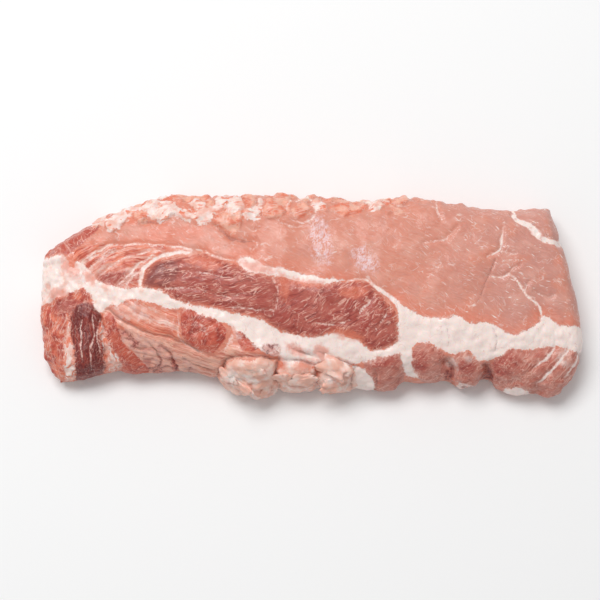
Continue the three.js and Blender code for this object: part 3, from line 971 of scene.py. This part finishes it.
GROUP_MAKERS = {
    "Meat Mask": group_mask,
    "Meat Flecks": group_flecks,
    "Meat Fibres": group_fibres,
    "Meat Veins": group_veins,
    "Meat Fat": group_fat,
    "Meat Wetness": group_wetness,
}


class Meat:
    """A meat material in the making: its tree, its colours and the node groups that it shares.

    Sizes are in millimetres, and turns in degrees.
    """

    def __init__(self, name, colours):
        self.material = bpy.data.materials.new(name)
        self.material.use_nodes = True
        self.colours = colours
        self.tree = self.material.node_tree
        self.tree.nodes.clear()
        self.place = add(self.tree, "TexCoord").outputs["Object"]
        self.along = add(self.tree, "SeparateXYZ", {0: self.place}).outputs[0]
        self.swayed = {}

    def use(self, group, place=None, **inputs):
        """Places a shared node group, which is built the first time that it is asked for."""
        node = self.tree.nodes.new("ShaderNodeGroup")
        node.node_tree = bpy.data.node_groups.get(group) or GROUP_MAKERS[group](group)
        plug(self.tree, node.inputs["Vector"], self.place if place is None else place)
        for name, value in inputs.items():
            plug(self.tree, node.inputs[name], value)
        return node.outputs

    def sway(self, bend):
        """Object coordinates that sway slowly by some millimetres, so that a grain bends."""
        tree = self.tree
        if bend not in self.swayed:
            slow = noise_field(tree, self.place, 16, detail=1.0)["Color"]
            centred = add(tree, "VectorMath", {0: slow, 1: (0.5, 0.5, 0.5)}, operation="SUBTRACT")
            scaled = {0: centred.outputs[0], "Scale": bend * MM}
            moved = add(tree, "VectorMath", scaled, operation="SCALE")
            place = add(tree, "VectorMath", {0: self.place, 1: moved.outputs[0]}, operation="ADD")
            self.swayed[bend] = place.outputs[0]
        return self.swayed[bend]

    def flecks(self, turn, length, width, amount, bend=8):
        """The mask of marbling: amount is the share of the cells that hold a fleck."""
        inputs = {"Turn": math.radians(turn), "Length": length, "Width": width, "Amount": amount}
        return self.use("Meat Flecks", self.sway(bend), **inputs)["Mask"]

    def veins(self, turn, size, thickness, cover, stretch=2.5, bend=8):
        """The mask of thin veins, drawn out by stretch along the grain."""
        inputs = {"Turn": math.radians(turn), "Length": size * stretch, "Size": size}
        return self.use("Meat Veins", self.sway(bend), Thickness=thickness, Cover=cover, **inputs)["Mask"]

    def fibres(self, turn, length, width, bend=8):
        """The lines of a muscle's grain."""
        inputs = {"Turn": math.radians(turn), "Length": length, "Width": width}
        return self.use("Meat Fibres", self.sway(bend), **inputs)["Grain"]

    def depth(self, layer):
        """A layer's depth, in millimetres, that the mesh keeps as an attribute."""
        return add(self.tree, "Attribute", attribute_name=layer).outputs["Fac"]

    def mask(self, layer, wander=0.6, fray=0.6, softness=0.4, grow=0.0):
        """The mask of a layer, grown by some millimetres, with an uneven edge."""
        depth = self.depth(layer)
        if grow:
            depth = calc(self.tree, "ADD", depth, grow)
        return self.use("Meat Mask", Depth=depth, Wander=wander, Fray=fray, Softness=softness)["Mask"]

    def noise(self, size, detail=2.0, low=0.4, high=0.6):
        """Blotches of about the given size, from 0 to 1."""
        return ramp(self.tree, noise_field(self.tree, self.place, size, detail)["Fac"], low, high)

    def both(self, first, second):
        """Where two masks meet."""
        return times(self.tree, first, second)

    def step(self, value, start, end, low=0.0, high=1.0):
        """A smooth step from low to high as the value goes from start to end."""
        return ramp(self.tree, value, start, end, low, high)

    def over(self, colour, mask, strength, other):
        """Another colour over this one, where the mask is, at the given strength."""
        share = mask if strength == 1 else times(self.tree, mask, strength)
        return mix(self.tree, share, colour, other)

    def blotch(self, colour, strength, other, size, detail=2.0, low=0.4, high=0.6):
        """Another colour over this one, in blotches."""
        return self.over(colour, self.noise(size, detail, low, high), strength, other)

    def streak(self, colour, lines, start, end, share, other):
        """Another colour over this one, along the lines of a grain: none at start, the whole share at end."""
        return mix(self.tree, self.step(lines, start, end, 0.0, share), colour, other)

    def strands(self, colour, lighter, darker, width=1.0, strength=0.6):
        """Long light and dark strands that lie along the lines that the slab keeps."""
        place = add(self.tree, "Attribute", attribute_name="strands").outputs["Vector"]
        for size, share in ((width, strength), (width * 3, strength * 0.7)):
            lines = self.use("Meat Fibres", place, Length=26 * size, Width=size)["Grain"]
            colour = self.streak(colour, lines, 0.5, 0.62, share, lighter)
            colour = self.streak(colour, lines, 0.48, 0.34, share, darker)
        return colour

    def grain(self, colour, lighter, darker, turn, length=10, width=0.8, strength=0.4):
        """Fine light and dark lines along the grain of a muscle."""
        lines = self.fibres(turn, length, width)
        colour = self.streak(colour, lines, 0.52, 0.72, strength, lighter)
        return self.streak(colour, lines, 0.48, 0.28, strength, darker)


def loin_colour(meat):
    """The pale loin: warmer to the blade end, greyer to the loin end."""
    colours = meat.colours
    warm = meat.both(meat.step(meat.along, 0.0, -0.12, 0.3, 0.85), meat.noise(16, 3.0, 0.2, 0.55))
    colour = meat.over(colours.loin, warm, 1, colours.loin_warm)
    grey = meat.both(meat.step(meat.along, 0.05, 0.15, 0.1, 1.0), meat.noise(14, low=0.25, high=0.55))
    colour = meat.over(colour, grey, 1, colours.loin_mauve)
    colour = meat.blotch(colour, 0.3, colours.fat_pink, 12, 3.0, 0.5, 0.7)
    colour = meat.blotch(colour, 0.4, colours.loin_mauve, 9, 4.0, 0.48, 0.28)
    colour = meat.over(colour, meat.step(meat.depth("fat"), -12.0, 2.0), 0.65, colours.loin_warm)
    colour = meat.grain(colour, colours.fat_pink, colours.loin_mauve, -32, 14, 1.6, strength=0.3)
    return loin_painted_sheen(meat, loin_marbling(meat, colour))


def loin_marbling(meat, colour):
    """Sparse flecks that lean down, more of them to the loin end, and a few thin veins."""
    flecks = meat.flecks(-33, 9.0, 1.3, 0.55)
    short = meat.flecks(-10, 4.5, 1.4, 0.35, bend=14)
    shown = meat.both(meat.step(meat.along, 0.05, 0.13, 0.35, 0.9), meat.noise(9, low=0.3, high=0.6))
    all_flecks = calc(meat.tree, "MAXIMUM", flecks, short)
    colour = meat.over(colour, meat.both(all_flecks, shown), 1, meat.colours.fat)
    for turn, size, thickness, strength in ((20, 9, 0.012, 0.5), (-50, 4.5, 0.022, 0.3)):
        colour = meat.over(colour, meat.veins(turn, size, thickness, 0.46), strength, meat.colours.fat)
    return colour


def loin_painted_sheen(meat, colour):
    """Painted sheen on the wet skin in the middle of the loin, crossed by fine painted glints."""
    # Painted sheen: a haze of the film colour, and fine painted glints over it
    film = meat.mask("films", wander=2.4, fray=1.5, softness=2.5)
    painted_haze = meat.both(film, meat.noise(3, 4.0, 0.45, 0.7))
    colour = meat.over(colour, painted_haze, 0.55, meat.colours.film)
    painted_glints = meat.veins(70, 1.6, 0.07, 0.9, bend=3)
    return meat.over(colour, meat.both(painted_glints, film), 0.7, meat.colours.film)


def blade_half(meat, colour, turn):
    """Close marbling along one direction, over the dark blade muscle."""
    colours = meat.colours
    streaks = meat.fibres(turn, 16, 2.2)
    colour = meat.streak(colour, streaks, 0.46, 0.3, 0.6, colours.cross_grain)
    colour = meat.streak(colour, streaks, 0.54, 0.7, 0.7, colours.front)
    colour = meat.grain(colour, colours.front, colours.cross_grain, turn, 16, 1.0, strength=0.35)
    wisps = meat.veins(turn, 2.6, 0.024, 0.55, stretch=6.0)
    colour = meat.over(colour, wisps, 0.75, colours.fat_pink)
    for length, width, amount, lean in ((7, 1.0, 0.3, 17.2), (10, 1.2, 0.4, 6.9), (14, 1.5, 0.5, 0)):
        flecks = meat.flecks(turn + lean, length, width, amount)
        colour = meat.over(colour, flecks, 0.8, colours.fat_pink)
    return meat.over(colour, meat.veins(turn, 7, 0.018, 0.5), 0.85, colours.fat_pink)


def blade_colour(meat):
    """The dark blade muscle: its grain rises gently in the left half and steeply in the right one."""
    colours = meat.colours
    colour = meat.blotch(colours.blade, 0.4, colours.front, 9, 4.0)
    colour = meat.blotch(colour, 0.2, colours.cross_grain, 6, 3.0, 0.45, 0.3)
    tip = meat.mask("blade_tip", wander=1.0, softness=1.5)
    colour = meat.over(colour, tip, 0.8, colours.blade_tip)
    colour = meat.over(colour, meat.step(meat.depth("blade"), 4.0, 0.0), 0.4, colours.orange)
    right = meat.step(meat.along, -0.04, -0.01)
    return meat.over(blade_half(meat, colour, 10), right, 1, blade_half(meat, colour, 36))


def strand_colour(meat, base, light, strength=0.8, red=0.5):
    """A thin muscle or skin under long strands of fat."""
    colours = meat.colours
    colour = meat.blotch(base, red, colours.red, 7, 3.0)
    colour = meat.blotch(colour, 0.25, colours.fat_pink, 9, 3.0, 0.5, 0.68)
    return meat.strands(colour, light, colours.red, 0.9, strength)


def shred_colour(meat, turn, lean):
    """Torn shreds of fat and thin muscle, one over another. The more lean, the more muscle."""
    colours = meat.colours
    shreds = meat.fibres(turn, 11, 3.2, bend=14)
    muscle = meat.blotch(colours.orange, 1, colours.loin_warm, 4, 3.0)
    muscle = meat.blotch(muscle, 0.55, colours.fat_pink, 5)
    share = meat.step(shreds, 0.3 + lean * 0.35, 0.24 + lean * 0.35)
    colour = meat.over(fat_colour(meat, 0.38), share, 1, muscle)
    lines = meat.veins(turn, 4, 0.02, 0.6, stretch=3.0, bend=14)
    return meat.over(colour, lines, 0.75, colours.fat)


def red_colour(meat, base, turn, pale=0.5, length=7, tint=None):
    """A small red muscle, with a net of fine veins. Pale is how much of the tint and of pink it has."""
    colours = meat.colours
    colour = meat.blotch(base, pale, tint or colours.orange, 6, 4.0)
    colour = meat.blotch(colour, 0.7 - 0.7 * pale, colours.cross_grain, 6, 4.0, 0.46, 0.32)
    streaks = meat.fibres(turn, length * 2.5, length * 0.2)
    colour = meat.streak(colour, streaks, 0.54, 0.68, pale, colours.fat_pink)
    colour = meat.grain(colour, colours.fat_pink, colours.cross_grain, turn, length, 0.9, strength=0.25)
    bright = 0.45 + 0.6 * pale
    colour = meat.over(colour, meat.flecks(turn, length, 1.2, 0.4), bright, colours.fat_pink)
    return meat.over(colour, meat.veins(turn, 4.5, 0.026, 0.58, stretch=2.0), bright, colours.fat_pink)


def fat_colour(meat, stain):
    """Fat: clean, or pink where juice has stained it, with a few thin dark gaps."""
    colours = meat.colours
    pink = meat.use("Meat Fat", Stain=stain)["Pink"]
    colour = meat.over(colours.fat, pink, 1, colours.fat_pink)
    return meat.over(colour, meat.veins(74.5, 8, 0.01, 0.5, stretch=1.5), 0.4, colours.loin_mauve)


def lump_colour(meat):
    """The yellower, pinker fat of the lumps at the front."""
    return meat.blotch(fat_colour(meat, 0.42), 0.55, meat.colours.tan, 8, 3.0, 0.3, 0.6)


def skin_colour(meat):
    """Grey silverskin with lighter patches and dark specks."""
    colours = meat.colours
    colour = meat.blotch(colours.silverskin, 0.75, colours.tan, 4, 4.0)
    colour = meat.strands(colour, colours.fat_pink, colours.red, 1.6, 0.45)
    colour = meat.blotch(colour, 0.6, colours.fat_pink, 7, 3.0, 0.55, 0.7)
    return meat.blotch(colour, 0.5, colours.juice, 3, 3.0, 0.66, 0.76)


def underside_colour(meat):
    """The skin of the underside: pale over each rib, and red meat between the ribs."""
    colours = meat.colours
    bone = meat.blotch(colours.bone, 1, colours.fat_pink, 5)
    over_rib = meat.step(meat.depth("rib"), 0.3, 0.6)
    colour = meat.over(red_colour(meat, colours.red, 90), over_rib, 0.85, bone)
    return meat.blotch(colour, 0.5, colours.silverskin, 30)


def muscle_layers(meat):
    """The muscles and skins that lie on the loin, from the lowest up, as masks and colours."""
    colours, mask = meat.colours, meat.mask
    strip = red_colour(meat, colours.red, -50, 0.6, 10, colours.front)
    yield mask("edge_strip", softness=1.0), strip
    yield mask("fan"), strand_colour(meat, colours.orange, colours.fat_pink, 0.75, 0.7)
    yield mask("tan", wander=1.0), strand_colour(meat, colours.tan, colours.fat_pink, 0.65, 0.2)
    thin = strand_colour(meat, colours.orange, colours.tan, 0.55, 0.35)
    yield mask("orange", wander=1.5, softness=1.2), thin
    yield mask("silverskin", wander=1.5, softness=1.0), skin_colour(meat)
    yield mask("end_face", wander=1.4, fray=1.2), red_colour(meat, colours.red, 75, 0.75)
    yield mask("reds"), red_colour(meat, colours.red, 40, 0.3)
    front = red_colour(meat, colours.front, 48, 0.6, 12, colours.loin_mauve)
    yield mask("front_reds", fray=0.9, softness=0.8), front
    dark = red_colour(meat, colours.blade, 40, tint=colours.front)
    yield mask("dark", wander=1.5, fray=1.0, softness=3.0), dark
    cut = meat.strands(red_colour(meat, colours.cross_grain, 75, 0.05), colours.red, colours.juice, 1.0, 0.35)
    yield mask("cross_grain", softness=0.8), cut
    back = red_colour(meat, colours.loin_warm, 15, 0.9, tint=colours.tan)
    yield mask("back_reds", wander=1.6, fray=1.2, softness=0.8), back
    gristle = meat.blotch(shred_colour(meat, 80, lean=0.7), 0.6, colours.fat_pink, 5)
    yield mask("gristle", wander=1.4, fray=1.4, softness=1.0, grow=-0.4), gristle
    yield mask("blade", wander=0.5), blade_colour(meat)


def fat_layers(meat, colour):
    """Fat over the muscles: a pink fringe, a thin glaze, the seams, the bands, the flaps and the lumps."""
    colours, mask = meat.colours, meat.mask
    colour = meat.over(colour, mask("fat", 2.2, 1.8, 1.2, grow=0.7), 0.35, colours.fat_pink)
    thin = meat.blotch(colours.fat_pink, 1, colours.fat, 5)
    colour = meat.over(colour, mask("glazes", 2.4, 2.0, 2.5), 0.5, thin)
    clean = fat_colour(meat, meat.step(meat.along, 0.0, -0.16, 0.15, 0.31))
    wide = meat.step(meat.depth("seams"), 0.15, 0.6, 0.45)
    broken = meat.both(mask("seams", 0.5, 0.45, 0.5), meat.noise(5, 3.0, 0.25, 0.5))
    colour = meat.over(colour, broken, 1, meat.over(colours.fat_pink, wide, 1, clean))
    colour = meat.over(colour, mask("fat", 1.2, 0.8, 0.6), 1, clean)
    flaps = mask("flaps", 2.0, 0.8, 0.8, grow=0.3)
    colour = meat.over(colour, flaps, 1, shred_colour(meat, 10, lean=0.4))
    return meat.over(colour, mask("lumps", wander=0.8), 1, lump_colour(meat))


def stain_and_painted_shade_layers(meat, colour):
    """Warm stains, painted shade in the creases, and blots of blood and of painted shade, with darker specks.
    """
    colours, mask = meat.colours, meat.mask
    colour = meat.over(colour, mask("stains", wander=2.0, softness=2.0), 0.6, colours.loin_warm)
    # Painted shade: the juice colour darkens the creases, where shade falls
    colour = meat.over(colour, mask("creases", 0.3, 0.4, 0.7), 0.45, colours.juice)
    # Blood spots, and painted shade in the hollows between the rib ends and in the silverskin's folds, with
    # darker specks
    blood = mask("blood", 1.5, 1.5, 2.0)
    colour = meat.over(colour, blood, 0.5, colours.red)
    specks = meat.both(blood, meat.noise(2.6, 4.0, 0.44, 0.58))
    return meat.over(colour, specks, 0.75, colours.cross_grain)


def meat_colour(meat):
    """All the layers of the slab, from the loin at the bottom to the painted shade in the creases."""
    colour = loin_colour(meat)
    for mask, layer in muscle_layers(meat):
        colour = meat.over(colour, mask, 1, layer)
    colour = stain_and_painted_shade_layers(meat, fat_layers(meat, colour))
    under = meat.mask("under", wander=1.5, softness=1.5)
    return meat.over(colour, under, 1, underside_colour(meat))


def meat_surface(meat, colour, height):
    """The wet, slightly see-through surface of the meat."""
    tree = meat.tree
    bump = add(tree, "Bump", {"Strength": 0.8, "Distance": 0.7 * MM, "Height": height})
    looks = {
        "Base Color": colour,
        "Roughness": meat.use("Meat Wetness", Wet=0.3, Dry=0.55)["Roughness"],
        "Normal": bump.outputs[0],
        "Subsurface Weight": 0.15,
        "Subsurface Radius": (1.0, 0.35, 0.22),
        "Subsurface Scale": 2 * MM,
        "Specular IOR Level": 0.3,
        "Coat Weight": 0.15,
        "Coat Roughness": 0.1,
    }
    surface = add(tree, "BsdfPrincipled", looks)
    add(tree, "OutputMaterial", {"Surface": surface.outputs[0]})


def rack_material(colours):
    """Raw meat, with every layer that the slab keeps."""
    meat = Meat("raw_meat", colours)
    fatty = meat.mask("fat", wander=0.9, fray=0.9)
    grained = meat.both(meat.fibres(-28, 7, 1.1), meat.step(fatty, 0.0, 1.0, 1.0, 0.3))
    lobules = meat.use("Meat Fat", Stain=0.3)["Height"]
    height = calc(meat.tree, "MULTIPLY_ADD", lobules, meat.both(fatty, 0.45), grained)
    meat_surface(meat, meat_colour(meat), height)
    return meat.material


def trimmings_material(colours):
    """Fat, redder and darker at its low rim, where it meets the slab: painted shade."""
    meat = Meat("raw_trimmings", colours)
    # Painted shade: a darker, warmer colour on the crumb's low rim, where it meets the slab
    rim = meat.both(meat.step(meat.depth("rim"), 0.2, 1.0), meat.noise(4, low=0.3, high=0.6))
    colour = meat.over(lump_colour(meat), rim, 0.2, colours.loin_warm)
    meat_surface(meat, colour, meat.use("Meat Fat", Stain=0.3)["Height"])
    return meat.material


def floor_material(colour):
    material = bpy.data.materials.new("pale_floor")
    material.use_nodes = True
    surface = material.node_tree.nodes["Principled BSDF"]
    surface.inputs["Base Color"].default_value = (*colour, 1)
    surface.inputs["Roughness"].default_value = 0.8
    return material


# Operators


def finish_piece(piece, material):
    """Smooths a piece of meat, gives it its material and makes it part of the rack."""
    for face in piece.data.polygons:
        face.use_smooth = True
    piece.data.materials.clear()
    piece.data.materials.append(material)
    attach(piece, "root")


class RIBRACK_OT_slab(bpy.types.Operator):
    """Builds the slab of meat round the CAD slab"""

    bl_idname = "mesh.rib_rack_slab"
    bl_label = "Add Slab of Ribs"

    def execute(self, context):
        piece = smooth_shell()
        shape_slab(piece, context.scene.rib_rack_shape)
        finish_piece(piece, rack_material(context.scene.rib_rack_colours))
        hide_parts("rack")
        return {"FINISHED"}


class RIBRACK_OT_trimmings(bpy.types.Operator):
    """Lays crumbs of fat on the lumps at the front"""

    bl_idname = "mesh.rib_rack_trimmings"
    bl_label = "Add Fat Trimmings"

    def execute(self, context):
        slab = bpy.data.objects.get("rack_meat")
        if slab is None:
            raise RuntimeError("The slab of ribs comes before its trimmings")
        piece = lay_trimmings(slab)
        finish_piece(piece, trimmings_material(context.scene.rib_rack_colours))
        return {"FINISHED"}


class RIBRACK_OT_stage(bpy.types.Operator):
    """Lays a pale floor, and sets up soft light and the camera"""

    bl_idname = "scene.rib_rack_stage"
    bl_label = "Set Up Stage"

    def execute(self, context):
        stage = context.scene.rib_rack_stage
        lay_floor(stage)
        light_stage(stage)
        place_camera(stage)
        context.scene.view_settings.view_transform = "Standard"
        return {"FINISHED"}


def lay_floor(stage):
    grid = bmesh.new()
    bmesh.ops.create_grid(grid, x_segments=1, y_segments=1, size=FLOOR_HALF_SIZE)
    floor = new_piece("floor", grid)
    floor.data.materials.append(floor_material(stage.floor))
    floor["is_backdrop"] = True


def light_stage(stage):
    """One big soft light from the back left, and an even sky."""
    lamp = bpy.data.lights.new("key_light", "AREA")
    lamp.shape = "RECTANGLE"
    lamp.size, lamp.size_y = KEY_SIZE
    lamp.energy = stage.key_power
    key = bpy.data.objects.new("key_light", lamp)
    key.location = KEY_PLACE
    key.rotation_euler = (-KEY_PLACE).to_track_quat("-Z", "Y").to_euler()
    bpy.context.scene.collection.objects.link(key)
    world = bpy.data.worlds.new("sky")
    world.use_nodes = True
    sky = world.node_tree.nodes["Background"].inputs
    sky["Color"].default_value = (1, 1, 1, 1)
    sky["Strength"].default_value = stage.sky
    bpy.context.scene.world = world


def place_camera(stage):
    """A camera high over the front of the slab, where the eye is."""
    camera = bpy.data.objects.new("camera", bpy.data.cameras.new("camera"))
    camera.data.lens = stage.lens
    camera.location = EYE_TARGET + EYE_BACK * EYE_DISTANCE
    camera.rotation_euler = (-EYE_BACK).to_track_quat("-Z", "Y").to_euler()
    bpy.context.scene.collection.objects.link(camera)
    bpy.context.scene.camera = camera


class RIBRACK_PT_panel(bpy.types.Panel):
    """The rack's settings and the buttons that build it"""

    bl_idname = "RIBRACK_PT_panel"
    bl_label = "Rack of Ribs"
    bl_space_type = "VIEW_3D"
    bl_region_type = "UI"
    bl_category = "Ribs"

    def draw(self, context):
        for operator in OPERATORS:
            self.layout.operator(operator.bl_idname)
        for name, group in SETTINGS.items():
            box = self.layout.box()
            for setting in group.__annotations__:
                box.prop(getattr(context.scene, name), setting)


SETTINGS = {
    "rib_rack_shape": RibRackShape,
    "rib_rack_colours": RibRackColours,
    "rib_rack_stage": RibRackStage,
}
OPERATORS = (RIBRACK_OT_slab, RIBRACK_OT_trimmings, RIBRACK_OT_stage)
CLASSES = (*SETTINGS.values(), *OPERATORS, RIBRACK_PT_panel)


def register():
    for cls in CLASSES:
        bpy.utils.register_class(cls)
    for name, group in SETTINGS.items():
        setattr(bpy.types.Scene, name, bpy.props.PointerProperty(type=group))


def unregister():
    for name in SETTINGS:
        delattr(bpy.types.Scene, name)
    for cls in reversed(CLASSES):
        bpy.utils.unregister_class(cls)


def main():
    register()
    bpy.ops.mesh.rib_rack_slab()
    bpy.ops.mesh.rib_rack_trimmings()
    bpy.ops.scene.rib_rack_stage()
    boxes = {"cad": (CAD_LOW, CAD_HIGH), "visual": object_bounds()}
    {name: [list(low), list(high)] for name, (low, high) in boxes.items()}


if __name__ == "__main__":
    main()
